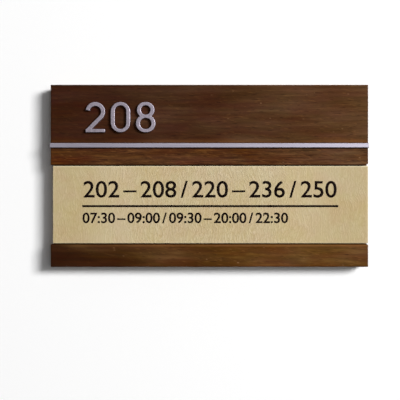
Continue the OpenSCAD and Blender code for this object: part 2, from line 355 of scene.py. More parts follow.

# %% [markdown]
# The tone picks the colour from a ramp. One ramp could show it all, but these bars are dark and red at the
# left and paler at the right, so there are two, and the place along the bar mixes them. The paler right is
# partly a painted sheen of the lamp on that side. The hue drifts a little too, because even wood from one
# tree is never one colour.

# %% The colours of a plank
TONE_STOPS = (0.22, 0.5, 0.8)
# Noise runs from 0 to 1, but most of it lies between these two.
NOISE_MAIN = (0.35, 0.65)
WOOD_HUE = (0.491, 0.507)
WOOD_RICHNESS = (1.05, 0.95)


def plank_colour(tree, plank, wood):
    """Gives a plank's colour, from its left tones to its right tones along the bar; the paler right is
    partly a painted sheen.
    """
    tone = plank_tone(tree, plank, wood)
    heart = add(tree, "ValToRGB", [tone], list(zip(TONE_STOPS, plank.heart)))
    outer = add(tree, "ValToRGB", [tone], list(zip(TONE_STOPS, plank.outer)))
    colour = add(tree, "Mix", (wood.along, heart, outer), data_type="RGBA")
    hue = add(tree, "MapRange", (wood.patch, *NOISE_MAIN, *WOOD_HUE))
    rich = add(tree, "MapRange", (wood.cloud, *NOISE_MAIN, *WOOD_RICHNESS))
    return add(tree, "HueSaturation", {"Hue": hue, "Saturation": rich, "Color": colour})


print("hue, where 0.5 is unchanged:", WOOD_HUE, "saturation:", WOOD_RICHNESS)

# %% [markdown]
# Growth leaves marks that the tone doesn't hold. A band of sapwood, paler and more orange, runs along the
# foot of the header with a wavering edge, and shows more to the right. Small pale specks of mineral lie in
# the wood. They could be scattered as small meshes, but they are only colour, so a Voronoi pattern makes
# them: the middle of a cell is the place for a speck, and the cell's random colour says how strong it is.

# %% Sapwood and specks
SAP_WAVER = 6 * MM
SAP_SHARE = (0.22, 0.52)
SAP_TONE = "#784b1d"
SPECK_MM = (6.5, 1.6, 3.6)
SPECK_EDGE = (0.14, 0.06)


def with_sapwood(tree, plank, wood, colour):
    """Lays a band of sapwood over a plank's colour."""
    low, high = (height + SAP_WAVER / 2 for height in plank.sapwood)
    wavering = add(tree, "Math", (wood.patch, SAP_WAVER, wood.height), operation="MULTIPLY_ADD")
    full = add(tree, "MapRange", (wood.along, 0.0, 1.0, *SAP_SHARE))
    share = add(tree, "MapRange", (wavering, high, low, 0.0, full))
    return add(tree, "Mix", (share, colour, linear(SAP_TONE)), data_type="RGBA")


def pale_specks(tree, plank, wood):
    """Finds the small pale specks, which are fainter towards the plank's left end."""
    finer = [1 / length for length in SPECK_MM]
    shrunk = add(tree, "VectorMath", (wood.leaning, finer), operation="MULTIPLY")
    cells = add(tree, "TexVoronoi", {"Vector": shrunk, "Scale": 1.0}).outputs
    speck = add(tree, "MapRange", (cells["Distance"], *SPECK_EDGE, 0.0, 1.0))
    lot = add(tree, "SeparateXYZ", [cells["Color"]]).outputs["X"]
    strong = add(tree, "MapRange", (lot, plank.specks, 0.0, 0.0, 1.0))
    speck = add(tree, "Math", (speck, strong), operation="MULTIPLY")
    return add(tree, "Math", (speck, wood.along), operation="MULTIPLY")


print("specks at most every", SPECK_MM, "mm, sapwood wavers by", in_mm([SAP_WAVER]), "mm")

# %% [markdown]
# Use leaves marks too. Edges are worn pale, and so is a rail where the panel rubs along it. Those pale lines
# on the rails are also a painted highlight, where the rounded arris of a rail catches the lamp. Wear could
# be painted by hand, but Blender can find an edge by itself: a Bevel node gives the normal of a rounded
# copy, and where that leans away from the real one there is an edge. The same edges carry a painted
# highlight on the metal.

# %% Wear and painted highlights
WOOD_EDGE = 0.7 * MM
WOOD_EDGE_COSINE = 0.8
WOOD_EDGE_SHARE = 0.14
EDGE_SAMPLES = 6
FLECK_RANGE = (0.58, 0.75)
RUB_ALONG = (0.2, 0.7)


def edge_wear_and_highlight(tree, reach, cosine):
    """Finds edges, which count fully where the two normals lean apart by an angle with this cosine: worn
    pale on wood, a painted highlight on metal.
    """
    real = add(tree, "NewGeometry").outputs["Normal"]
    rounded = add(tree, "Bevel", {"Radius": reach}, samples=EDGE_SAMPLES)
    alike = add(tree, "VectorMath", (real, rounded), operation="DOT_PRODUCT")
    return add(tree, "MapRange", (alike, 1.0, cosine, 0.0, 1.0))


def rubbed_line(tree, wood, height, reach):
    """Finds a pale level line on a rail, worn where the panel rubs it and partly a painted highlight of its
    arris, fading out towards the left.
    """
    off_line = add(tree, "Math", (wood.height, height), operation="SUBTRACT")
    off_line = add(tree, "Math", [off_line], operation="ABSOLUTE")
    near = add(tree, "MapRange", (off_line, reach, 0.0))
    where = add(tree, "MapRange", (wood.along, *RUB_ALONG))
    return add(tree, "Math", (near, where), operation="MULTIPLY")


def pale_wood(tree, plank, wood):
    """Says how pale the wood is, from its flecks, its worn edges, and the lines where the panel rubs a rail,
    which also paint its arris highlight.
    """
    fleck = add(tree, "MapRange", (wood.fleck, *FLECK_RANGE, 0.0, 1.0))
    share = add(tree, "MapRange", (wood.along, 0.0, 1.0, *plank.flecks))
    pale = add(tree, "Math", (fleck, share), operation="MULTIPLY")
    wear_and_highlight = edge_wear_and_highlight(tree, WOOD_EDGE, WOOD_EDGE_COSINE)
    wear_and_highlight = add(tree, "Math", (wear_and_highlight, wood.streak), operation="MULTIPLY")
    pale = add(tree, "Math", (wear_and_highlight, WOOD_EDGE_SHARE, pale), operation="MULTIPLY_ADD")
    # Painted highlight: the rubbed line lies along a rail's arris, where it catches the lamp, and stands for
    # wear too.
    if plank.rubbed:
        height, reach, share = plank.rubbed
        line = rubbed_line(tree, wood, height, reach)
        pale = add(tree, "Math", (line, share, pale), operation="MULTIPLY_ADD")
    return pale


print("edges worn over", in_mm([WOOD_EDGE]), "mm")

# %% [markdown]
# Shade falls in the corners where two bars meet and along the strip's foot, and here it is painted into the
# colour as dark lines: painted shade, which stands for a little dirt as well. A baked occlusion map could
# find them, but all of them run level along the sign, so a dark line at a known height does it. Wood and
# metal use the same function.

# %% Painted shade
def with_dirt(tree, height, lines, tone, colour):
    """Paints shade into a colour along level lines, each with the height where it starts, the height where
    it is deepest and its share.
    """
    for shade_starts, dirty, share in lines:
        dirt = add(tree, "MapRange", (height, shade_starts, dirty, 0.0, share))
        colour = add(tree, "Mix", (dirt, colour, linear(tone)), data_type="RGBA")
    return colour


header_foot = face_low[2]
strip_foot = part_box("trim_strip")[0][2]
upper_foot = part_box("upper_rail")[0][2]
lower_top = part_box("lower_rail")[1][2]
print("corners in mm up the sign:", in_mm((header_foot, strip_foot, upper_foot, lower_top)))

# %% [markdown]
# The finish puts these together, one mix over the other: tones, sapwood, pores, wear with its painted
# highlights, specks and painted shade. A varnish would lie over them as a clear coat, but oil soaks in and
# leaves no film, so there is hardly any shine. Pores and fibres also go to the bump, because oiled wood
# keeps its open grain.

# %% The oiled finish
PORE_RANGE = (0.6, 0.74)
PORE_SHARE = 0.5
PORE_TONE = "#180a04"
PALE_TONE = "#8a5c30"
SPECK_TONE = "#8a6545"
WOOD_SHADE_TONE = "#100602"
# Nearly all of a noise lies between these two.
NOISE_ENDS = (0.3, 0.7)
WOOD_ROUGHNESS = (0.68, 0.82)
WOOD_SHINE = 0.06
PORE_SINK = -1.2
WOOD_BUMP = {"Strength": 0.4, "Distance": 0.08 * MM}


def dark_hardwood(name, plank):
    """Oiled dark hardwood: warm brown with soft streaks, clouds and short pores, and only a faint sheen."""
    material, tree, shader = new_material(name)
    wood = plank_patterns(tree, plank)
    colour = plank_colour(tree, plank, wood)
    if plank.sapwood:
        colour = with_sapwood(tree, plank, wood, colour)
    deep = add(tree, "MapRange", (wood.pore, *PORE_RANGE, 0.0, PORE_SHARE))
    pale = pale_wood(tree, plank, wood)
    specks = pale_specks(tree, plank, wood)
    for share, tone in ((deep, PORE_TONE), (pale, PALE_TONE), (specks, SPECK_TONE)):
        colour = add(tree, "Mix", (share, colour, linear(tone)), data_type="RGBA")
    # Painted shade: dark lines in the corners between the bars, standing for a little dirt too.
    colour = with_dirt(tree, wood.height, plank.dirt, WOOD_SHADE_TONE, colour)
    dull = add(tree, "MapRange", (wood.fibre, *NOISE_ENDS, *WOOD_ROUGHNESS))
    relief = add(tree, "Math", (deep, PORE_SINK, wood.fibre), operation="MULTIPLY_ADD")
    bump = add(tree, "Bump", {"Height": relief, **WOOD_BUMP})
    plug(shader, {"Base Color": colour, "Roughness": dull, "Specular IOR Level": WOOD_SHINE, "Normal": bump})
    return material


print("wood roughness:", WOOD_ROUGHNESS, "shine:", WOOD_SHINE)

# %% [markdown]
# Three planks now need only their own values. Three separate materials could be built by hand, but then a
# change to the wood would have to be made three times. The two sets of tones are the dark, middle and pale
# tones at the left and at the right end, and change says where along the bar one gives way to the other; the
# paler right is partly a painted sheen of the lamp. Pith is the way from the pith to the sign's middle, and
# figure is the size of a streak, all in millimetres. Tilt and lean, in degrees, turn the grain and its
# flecks. Streaks, fibres and flecks are strengths at the left and at the right end, and specks is the share
# of cells with a speck. Sapwood, the pale rubbed lines, which also paint arris highlights, and the painted
# shade in the corners take their heights from the frame, so they follow the solids.

# %% The three planks
header_plank = SimpleNamespace(
    heart=("#260f07", "#371b0d", "#4c2814"), outer=("#422a13", "#5b3d24", "#775636"), change=(-54, 118),
    pith=(178, 14, 60), tilt=0.5, lean=8, figure=(42, 6, 2.2), streaks=(0.38, 0.68), fibres=(0.3, 0.32),
    flecks=(0.1, 0.3), specks=0.5, sapwood=(header_foot, header_foot + 3.2 * MM), rubbed=None,
    dirt=[(header_foot + 0.6 * MM, header_foot + 0.3 * MM, 0.35)])
upper_plank = SimpleNamespace(
    heart=("#36190b", "#4b2911", "#673d1c"), outer=("#3c260f", "#563920", "#755838"), change=(5, 120),
    pith=(395, 22, -35), tilt=1.2, lean=14, figure=(15, 4, 1.2), streaks=(0.75, 0.6), fibres=(1.1, 0.5),
    flecks=(0.35, 0.35), specks=1.0, sapwood=None, rubbed=(upper_foot + 1.1 * MM, 0.9 * MM, 0.15),
    dirt=[(upper_foot + 0.6 * MM, upper_foot + 0.3 * MM, 0.8),
          (strip_foot - 0.7 * MM, strip_foot - 0.35 * MM, 0.8)])
lower_plank = SimpleNamespace(
    heart=("#1b0b03", "#2d1505", "#44240c"), outer=("#442910", "#5b3a18", "#80592d"), change=(-104, 22),
    pith=(136, 9, 71), tilt=-1.0, lean=11, figure=(20, 7, 3.4), streaks=(0.5, 0.75), fibres=(0.18, 0.3),
    flecks=(0.0, 0.4), specks=0.3, sapwood=None, rubbed=(lower_top - 0.95 * MM, 0.9 * MM, 0.55),
    dirt=[(lower_top - 0.5 * MM, lower_top - 0.25 * MM, 0.3)])
for node, name, plank in (("header_board", "header", header_plank),
                          ("upper_rail", "upper_rail", upper_plank),
                          ("lower_rail", "lower_rail", lower_plank)):
    finish = dark_hardwood("dark_hardwood_" + name, plank)
    nodes[node].material_slots[0].material = finish
    print("wood on", node, "with", len(finish.node_tree.nodes), "nodes")

# %% [markdown]
# ## Satin anodised aluminium
# The strip between header and rail is drawn flat bar, and the numerals are cut from plate. Both are matted,
# then anodised, so they are a soft lavender grey with no sharp reflection. A mirror under a very fine bump
# would look like that too, but only with many samples, so Metallic 1 and a roughness near one half stand for
# it. Lines along the drawn bar and an even grit on the plate break the surface up a little. The rims are
# painted paler: a painted highlight where the edges catch the lamp, which also stands for polish from
# handling. Patterns get their scale from a real size.

# %% The aluminium
# Real drawing lines and blasting grit are under 0.1 mm, and these are drawn coarser so that they show.
DRAWN_MM = (30.0, 0.25, 0.25)
GRIT_MM = (0.6, 0.6, 0.6)
RIM_COSINE = 0.85
RIM_HIGHLIGHT_SHARE = 0.8
METAL_SHADE_TONE = "#2c2830"
METAL_ROUGHNESS = (0.42, 0.54)
METAL_BUMP = {"Strength": 0.2, "Distance": 0.02 * MM}


def cell_scale(size_mm):
    """Gives the scale at which one cell of a pattern has a size in millimetres."""
    return [1 / (MM * length) for length in size_mm]


def anodised_aluminium(name, tones, rim_highlight_tone, rim, lines_mm, dirt=()):
    """Matted and anodised aluminium: pale, soft and slightly violet, with faint lines or grit."""
    material, tree, shader = new_material(name)
    spot = add(tree, "TexCoord").outputs["Object"]
    height = add(tree, "SeparateXYZ", [spot]).outputs["Z"]
    fine = add(tree, "Mapping", {"Vector": spot, "Scale": cell_scale(lines_mm)})
    line = add(tree, "TexNoise", {"Vector": fine, "Scale": 1.0, "Detail": 3.0})
    colour = add(tree, "ValToRGB", [line], list(zip(NOISE_ENDS, tones)))
    # Painted highlight: the rims are painted paler, where the edges catch the lamp.
    wear_and_highlight = edge_wear_and_highlight(tree, rim, RIM_COSINE)
    wear_and_highlight = add(tree, "Math", (wear_and_highlight, RIM_HIGHLIGHT_SHARE), operation="MULTIPLY")
    colour = add(tree, "Mix", (wear_and_highlight, colour, linear(rim_highlight_tone)), data_type="RGBA")
    # Painted shade: a dark line along the strip's foot, under its lower edge.
    colour = with_dirt(tree, height, dirt, METAL_SHADE_TONE, colour)
    dull = add(tree, "MapRange", (line, *NOISE_ENDS, *METAL_ROUGHNESS))
    bump = add(tree, "Bump", {"Height": line, **METAL_BUMP})
    plug(shader, {"Base Color": colour, "Metallic": 1.0, "Roughness": dull, "Normal": bump})
    return material


strip_metal = anodised_aluminium(
    "anodised_aluminium_strip", tones=("#97929f", "#a8a3af"), rim_highlight_tone="#d2cdd8", rim=0.6 * MM,
    lines_mm=DRAWN_MM, dirt=[(strip_foot + 0.5 * MM, strip_foot, 0.8)])
numeral_metal = anodised_aluminium(
    "anodised_aluminium_numerals", tones=("#918995", "#a29aa5"), rim_highlight_tone="#bdb4be", rim=0.8 * MM,
    lines_mm=GRIT_MM)
nodes["trim_strip"].material_slots[0].material = strip_metal
print("metal on trim_strip with", len(strip_metal.node_tree.nodes), "nodes")

# %% [markdown]
# ## The raised numerals
# Each numeral is plate, 3 mm thick, with its front edge broken by a small round so that it catches the
# light. Drawing the outline a second time would risk a different shape, so each one starts from a copy of
# its solid. The copy's loose triangles are merged and dissolved to plain faces, and then the front rim is
# bevelled.

# %% Bevel the numerals
RIM_ROUND = 0.32 * MM
SAME_POINT = 0.001 * MM
NEAR = 0.01 * MM
FLAT = math.radians(1)
SHARP = math.radians(60)


def keep_piece(name, shell, material, body):
    """Turns a bmesh into a piece at the origin that rides on a body."""
    mesh = bpy.data.meshes.new(name)
    shell.to_mesh(mesh)
    shell.free()
    mesh.materials.append(material)
    piece = bpy.data.objects.new(name, mesh)
    scene.collection.objects.link(piece)
    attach(piece, body)
    return piece


for node in ("numeral_left", "numeral_middle", "numeral_right"):
    plate = bmesh.new()
    plate.from_mesh(nodes[node].data)
    bmesh.ops.remove_doubles(plate, verts=plate.verts, dist=SAME_POINT)
    bmesh.ops.dissolve_limit(plate, angle_limit=FLAT, verts=plate.verts, edges=plate.edges)
    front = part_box(node)[0][1]
    rim = [edge for edge in plate.edges
           if all(abs(vert.co.y - front) < NEAR for vert in edge.verts) and edge.calc_face_angle(0) > SHARP]
    bmesh.ops.bevel(plate, geom=rim, offset=RIM_ROUND, offset_type="OFFSET", affect="EDGES", segments=3,
                    profile=0.5, material=-1, clamp_overlap=True)
    numeral = keep_piece(node + "_plate", plate, numeral_metal, "sign_base")
    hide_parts(node)
    print(numeral.name, "rim edges:", len(rim), "faces:", len(numeral.data.polygons))

# %% [markdown]
# ## Tan leather
# The name panel is faced with vegetable-tanned leather, undyed and matt. Its look is in the grain: small
# pebbles drawn out up and down, and long soft creases between them. Cells from a Voronoi pattern make the
# pebbles, and the lines where stretched noise passes its middle make the creases. Straight up and down they
# would look like brushed metal, so a slow noise first pushes the place from side to side, and the grain
# wanders over the hide.

# %% The grain of the hide
# To the eye, undyed leather is a warm, matt tan with upright creases and fine pebbles.
BEND_MM = (18.0, 18.0, 18.0)
WANDER = 11.7 * MM
PEBBLE_MM = (1.0, 1.0, 4.0)
GROOVE_WIDE = 0.16
CREASE_MM = (1.9, 1.9, 14.0)
WRINKLE_WIDE = 0.05
tan_leather, tree, shader = new_material("tan_leather")
spot = add(tree, "TexCoord").outputs["Object"]
bend_place = add(tree, "Mapping", {"Vector": spot, "Scale": cell_scale(BEND_MM)})
bend = add(tree, "TexNoise", {"Vector": bend_place, "Scale": 1.0, "Detail": 1.0}).outputs["Color"]
wander = add(tree, "VectorMath", (bend, (WANDER, 0, 0), spot), operation="MULTIPLY_ADD")
pebble_place = add(tree, "Mapping", {"Vector": wander, "Scale": cell_scale(PEBBLE_MM)})
pebble = add(tree, "TexVoronoi", {"Vector": pebble_place, "Scale": 1.0}, feature="DISTANCE_TO_EDGE")
groove = add(tree, "MapRange", (pebble, 0.0, GROOVE_WIDE), interpolation_type="SMOOTHSTEP")
crease_place = add(tree, "Mapping", {"Vector": wander, "Scale": cell_scale(CREASE_MM)})
crease = add(tree, "TexNoise", {"Vector": crease_place, "Scale": 1.0, "Detail": 3.0})
off_line = add(tree, "Math", (crease, MIDDLE), operation="SUBTRACT")
off_line = add(tree, "Math", [off_line], operation="ABSOLUTE")
wrinkle = add(tree, "MapRange", (off_line, 0.0, WRINKLE_WIDE), interpolation_type="SMOOTHSTEP")
print("grain nodes:", len(tree.nodes))

# %% [markdown]
# The tone of the leather follows the grain and changes slowly over the hide. The grain is livelier in the
# middle, where the hide was stretched least, and the ends, where hands push the panel, are a little darker.
# Both could be painted on the mesh, but they depend only on the distance from the middle of the sign, so
# that one value serves them.

# %% The tone of the hide
HIDE_MM = (28.0, 28.0, 28.0)
LIVELY_OVER = (15 * MM, 80 * MM)
LIVELY = (1.9, 0.9)
HANDLED_OVER = (50 * MM, 92 * MM)
HANDLED = (0.02, -0.1)
GRAIN_TONE = -0.045
CREASE_SHARE = 0.07
GROOVE_SHARE = 0.08
WRINKLE_SHARE = -0.075
HIDE_TONE = 0.433
HIDE_SHARE = 0.16
hide_place = add(tree, "Mapping", {"Vector": spot, "Scale": cell_scale(HIDE_MM)})
hide = add(tree, "TexNoise", {"Vector": hide_place, "Scale": 1.0, "Detail": 3.0})
off_middle = add(tree, "SeparateXYZ", [spot]).outputs["X"]
off_middle = add(tree, "Math", [off_middle], operation="ABSOLUTE")
lively = add(tree, "MapRange", (off_middle, *LIVELY_OVER, *LIVELY), interpolation_type="SMOOTHSTEP")
handled = add(tree, "MapRange", (off_middle, *HANDLED_OVER, *HANDLED), interpolation_type="SMOOTHSTEP")
grain = GRAIN_TONE
for pattern, share in ((crease, CREASE_SHARE), (groove, GROOVE_SHARE), (wrinkle, WRINKLE_SHARE)):
    grain = add(tree, "Math", (pattern, share, grain), operation="MULTIPLY_ADD")
tone = add(tree, "Math", (grain, lively, HIDE_TONE), operation="MULTIPLY_ADD")
tone = add(tree, "Math", (hide, HIDE_SHARE, tone), operation="MULTIPLY_ADD")
tone = add(tree, "Math", (tone, handled), operation="ADD")
print("grain and tone nodes:", len(tree.nodes))

# %% [markdown]
# The tone picks the colour, and faint stains shift its hue, as on any undyed hide. The turned edges are
# painted paler: a little for rubbing, and along the top and at the mouth mostly as a painted highlight,
# where those bends catch the lamp. That follows the shape, so the mesh carries it as an attribute, and the
# material reads it by name. Grain and creases also go to the bump, so that the lamp picks them out. They
# could be modelled, but at these sizes that would take millions of faces. Undyed leather is matt, and a
# little glossier where it is pale.

# %% The colour and surface of the hide
STAIN_MM = (9.0, 9.0, 9.0)
LEATHER_STOPS = [(0.3, "#b5a074"), (0.55, "#c7b48d"), (0.8, "#d3c29e")]
LEATHER_HUE = (0.494, 0.506)
LEATHER_RICHNESS = (1.05, 0.95)
RUB_AND_HIGHLIGHT_TONE = "#ece0be"
TONE_ENDS = (0.3, 0.8)
LEATHER_ROUGHNESS = (0.72, 0.58)
LEATHER_SHINE = 0.3
GROOVE_SINK = -0.3
LEATHER_BUMP = {"Strength": 0.45, "Distance": 0.16 * MM}
colour = add(tree, "ValToRGB", [tone], LEATHER_STOPS)
stain_place = add(tree, "Mapping", {"Vector": spot, "Scale": cell_scale(STAIN_MM)})
stain = add(tree, "TexNoise", {"Vector": stain_place, "Scale": 1.0, "Detail": 2.0})
hue = add(tree, "MapRange", (stain, *NOISE_MAIN, *LEATHER_HUE))
rich = add(tree, "MapRange", (hide, *NOISE_MAIN, *LEATHER_RICHNESS))
colour = add(tree, "HueSaturation", {"Hue": hue, "Saturation": rich, "Color": colour})
# Painted highlight on the top bend and at the mouth, and a little wear elsewhere.
rubbed = add(tree, "Attribute", attribute_name="turned_edge").outputs["Fac"]
colour = add(tree, "Mix", (rubbed, colour, linear(RUB_AND_HIGHLIGHT_TONE)), data_type="RGBA")
dull = add(tree, "MapRange", (tone, *TONE_ENDS, *LEATHER_ROUGHNESS))
relief = add(tree, "Math", (groove, GROOVE_SINK, wrinkle), operation="MULTIPLY_ADD")
relief = add(tree, "Math", (relief, lively), operation="MULTIPLY")
bump = add(tree, "Bump", {"Height": relief, **LEATHER_BUMP}, invert=True)
plug(shader, {"Base Color": colour, "Roughness": dull, "Specular IOR Level": LEATHER_SHINE, "Normal": bump})
print("leather nodes:", len(tree.nodes))

# %% [markdown]
# ## The leather facing
# The hide is cut larger than the panel, drawn over it and turned down on all four sides, where its edges are
# glued to the board. A block would show sharp, flat sides, so the facing is a skin: a fine grid for the
# face, an inset for the pale border of the bends, and the outline drawn back for the turned sides. Solidify
# then gives the skin its thickness inwards. It comes before the bends are rounded, because on a rounded
# corner the inner wall would fold over itself.

# %% Draw the facing over the panel
LEATHER_THICK = 1.1 * MM
GRID_STEP = 2.6 * MM
PALE_BAND_WIDE = 1.3 * MM
skin_low, skin_high = (Vector(corner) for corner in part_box("panel_leather"))
size = skin_high - skin_low
middle = (skin_low + skin_high) / 2
skin = bmesh.new()
turned = skin.verts.layers.float.new("turned_edge")
face_place = (Matrix.Translation((middle.x, skin_low.y, middle.z)) @ Matrix.Rotation(math.pi / 2, 4, "X")
              @ Matrix.Diagonal((size.x, size.z, 1, 1)))
bmesh.ops.create_grid(skin, x_segments=round(size.x / GRID_STEP), y_segments=round(size.z / GRID_STEP),
                      size=0.5, matrix=face_place)
bmesh.ops.inset_region(skin, faces=skin.faces[:], thickness=PALE_BAND_WIDE, use_boundary=True)
border = [edge for edge in skin.edges if edge.is_boundary]
sides = bmesh.ops.extrude_edge_only(skin, edges=border)["geom"]
bmesh.ops.translate(skin, verts=[thing for thing in sides if isinstance(thing, bmesh.types.BMVert)],
                    vec=(0, size.y, 0))
bmesh.ops.recalc_face_normals(skin, faces=skin.faces)
bmesh.ops.solidify(skin, geom=skin.faces[:], thickness=LEATHER_THICK)
print("skin faces before the bends:", len(skin.faces))

# %% [markdown]
# Only the outer bends are rounded, with a bevel. Angles alone would also find the inner ones, so an edge
# counts as an outer bend if both its ends lie on two or more of the skin's outer sides. The new corner
# points carry how pale each bend is painted: most at the mouth, where the panel is pulled out and the corner
# catches the lamp, then along the top, where the bend catches it too, so that both are mostly painted
# highlight, and only a little elsewhere, for wear. The face last gets the slight unevenness of a hide.

# %% Round the bends
BEND_ROUND = 0.6 * MM
MOUTH_END = 5 * MM
MOUTH_RUB_AND_HIGHLIGHT = 1.0
TOP_HIGHLIGHT = 0.5
RUBBED_ELSEWHERE = 0.15
UNEVEN = 0.07 * MM
UNEVEN_WIDE = 14 * MM
CREASED = math.radians(50)


def outer_sides(vert):
    """Counts the outer sides of the skin, front, ends, top and foot, that a corner point lies on."""
    at_front = abs(vert.co.y - skin_low.y) < NEAR
    at_end = min(abs(vert.co.x - skin_low.x), abs(vert.co.x - skin_high.x)) < NEAR
    at_long_side = min(abs(vert.co.z - skin_low.z), abs(vert.co.z - skin_high.z)) < NEAR
    return at_front + at_end + at_long_side


bends = [edge for edge in skin.edges
         if edge.calc_face_angle(0) > SHARP and all(outer_sides(vert) >= 2 for vert in edge.verts)]
bent = bmesh.ops.bevel(skin, geom=bends, offset=BEND_ROUND, offset_type="OFFSET", affect="EDGES", segments=5,
                       profile=0.5, material=-1, clamp_overlap=True)
# Painted highlight along the top bend and at the mouth; the rest is light wear.
for vert in bent["verts"]:
    vert[turned] = RUBBED_ELSEWHERE
    if vert.co.z > skin_high.z - BEND_ROUND:
        vert[turned] = MOUTH_RUB_AND_HIGHLIGHT if vert.co.x > skin_high.x - MOUTH_END else TOP_HIGHLIGHT
# This noise runs from -1 to 1, so the face only moves inwards, by no more than its unevenness.
for vert in skin.verts:
    if vert.co.y < skin_low.y + NEAR and vert[turned] == 0:
        vert.co.y += UNEVEN * (0.5 + 0.5 * noise.noise(vert.co / UNEVEN_WIDE))
for face in skin.faces:
    face.smooth = True
for edge in skin.edges:
    edge.smooth = edge.calc_face_angle(0) < CREASED
print("outer bends:", len(bends), "edges")

# %% [markdown]
# The facing takes the place of its plain solid, which is hidden.

# %% Keep the facing
facing = keep_piece("leather_facing", skin, tan_leather, "name_panel")
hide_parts("panel_leather")

# %% [markdown]
# ## The printing
# The printing is black ink, screen printed on the leather. Plain black would do from afar, but ink on a
# hide is never quite even, so a fine noise varies its tone and gloss. It stays matt, because some of it
# soaks in.

# %% The ink
# To the eye, the ink is almost black, slightly brown and a little uneven.
INK_MM = (0.7, 0.7, 0.7)
INK_STOPS = [(0.3, "#090302"), (0.75, "#160a07")]
INK_ROUGHNESS = (0.5, 0.65)
INK_SHINE = 0.05
printing_ink, tree, shader = new_material("black_printing_ink")
spot = add(tree, "TexCoord").outputs["Object"]
speck_place = add(tree, "Mapping", {"Vector": spot, "Scale": cell_scale(INK_MM)})
speck = add(tree, "TexNoise", {"Vector": speck_place, "Scale": 1.0, "Detail": 3.0})
colour = add(tree, "ValToRGB", [speck], INK_STOPS)
dull = add(tree, "MapRange", (speck, *NOISE_ENDS, *INK_ROUGHNESS))
plug(shader, {"Base Color": colour, "Roughness": dull, "Specular IOR Level": INK_SHINE})
print("ink nodes:", len(tree.nodes))

# %% [markdown]
# Two lines of plain numbers, a range of rooms and its hours, stand on either side of a thin rule. They
# could be painted in the leather's material, but figures need sharp edges, so they are real films of ink a
# few hundredths of a millimetre thick. Blender's own font makes them, with its strokes made a little
# heavier. Text is a curve at first, and becomes a mesh that can be shaped.

# %% Turn text into flat films
CURVE_STEPS = 6
WORD_GAP = 0.55
SAME_TEXT_POINT = 0.0005


def flat_text(words, heavier):
    """Gives a flat bmesh of a line of text, in the font's own units."""
    curve = bpy.data.curves.new("text", "FONT")
    curve.body = words
    curve.offset = heavier
    curve.space_word = WORD_GAP
    curve.resolution_u = CURVE_STEPS
    text = bpy.data.objects.new("text", curve)
    scene.collection.objects.link(text)
    mesh = bpy.data.meshes.new_from_object(text.evaluated_get(bpy.context.evaluated_depsgraph_get()))
    bpy.data.objects.remove(text)
    film = bmesh.new()
    film.from_mesh(mesh)
    bpy.data.meshes.remove(mesh)
    bmesh.ops.remove_doubles(film, verts=film.verts, dist=SAME_TEXT_POINT)
    return film


rooms_film = flat_text("202 – 208 / 220 – 236 / 250", heavier=0.009)
hours_film = flat_text("07:30 – 09:00 / 09:30 – 20:00 / 22:30", heavier=0.019)
print("points in the films:", len(rooms_film.verts), "and", len(hours_film.verts))

# %% [markdown]
# Each film is then stretched to the height and width of its line, turned upright onto the face, and lifted
# off it by the thickness of the ink. A font size could only set the height, so height and width are given
# as the places where the line begins, ends and stands.

# %% Print the lines
INK_THICK = 0.04 * MM


def printed_line(name, film, left, right, base, cap):
    """Prints a film on the panel's face, from left to right, on its base line and cap high, in mm."""
    text_left = min(vert.co.x for vert in film.verts)
    text_right = max(vert.co.x for vert in film.verts)
    wider = (right - left) / (text_right - text_left) * MM
    taller = cap / max(vert.co.y for vert in film.verts) * MM
    place = (Matrix.Translation((left * MM, skin_low.y, base * MM)) @ Matrix.Rotation(math.pi / 2, 4, "X")
             @ Matrix.Diagonal((wider, taller, 1, 1)) @ Matrix.Translation((-text_left, 0, 0)))
    bmesh.ops.transform(film, matrix=place, verts=film.verts)
    lifted = bmesh.ops.extrude_face_region(film, geom=film.faces[:])["geom"]
    bmesh.ops.translate(film, verts=[thing for thing in lifted if isinstance(thing, bmesh.types.BMVert)],
                        vec=(0, -INK_THICK, 0))
    bmesh.ops.recalc_face_normals(film, faces=film.faces)
    print(name, "stretch", round(wider / taller, 3))
    return keep_piece(name, film, printing_ink, "name_panel")


printed_line("printed_rooms", rooms_film, left=-79.35, right=80.2, base=-13.5, cap=10.4)
printed_line("printed_hours", hours_film, left=-79.95, right=49.6, base=-29.6, cap=6.5)

# %% [markdown]
# The rule between the lines is a bar of the same ink. A plain block would do from afar, but printed corners
# are never quite sharp, so the four short edges that point at the viewer are rounded with a bevel.

# %% Print the rule
RULE_LONG = 161.4 * MM
RULE_HIGH = 1.3 * MM
RULE_MIDDLE_X = 0.55 * MM
RULE_MIDDLE_Z = -19.07 * MM
RULE_CORNER = 0.2 * MM
rule = bmesh.new()
rule_place = (Matrix.Translation((RULE_MIDDLE_X, skin_low.y - INK_THICK / 2, RULE_MIDDLE_Z))
              @ Matrix.Diagonal((RULE_LONG, INK_THICK, RULE_HIGH, 1)))
bmesh.ops.create_cube(rule, size=1.0, matrix=rule_place)
corners = [edge for edge in rule.edges if abs(edge.verts[0].co.y - edge.verts[1].co.y) > INK_THICK / 2]
bmesh.ops.bevel(rule, geom=corners, offset=RULE_CORNER, offset_type="OFFSET", affect="EDGES", segments=3,
                profile=0.5, material=-1)
printed_rule = keep_piece("printed_rule", rule, printing_ink, "name_panel")
print(printed_rule.name, "faces:", len(printed_rule.data.polygons))

# %% [markdown]
# ## The parts behind
# From behind and with the panel out, the sign shows what holds it together. The back board is birch
# plywood: a pale veneer on its faces and stripes of plies on its edges. Two materials could be given to two
# sets of faces, but the solid stays as it is, so one material tells them apart by which way they look.

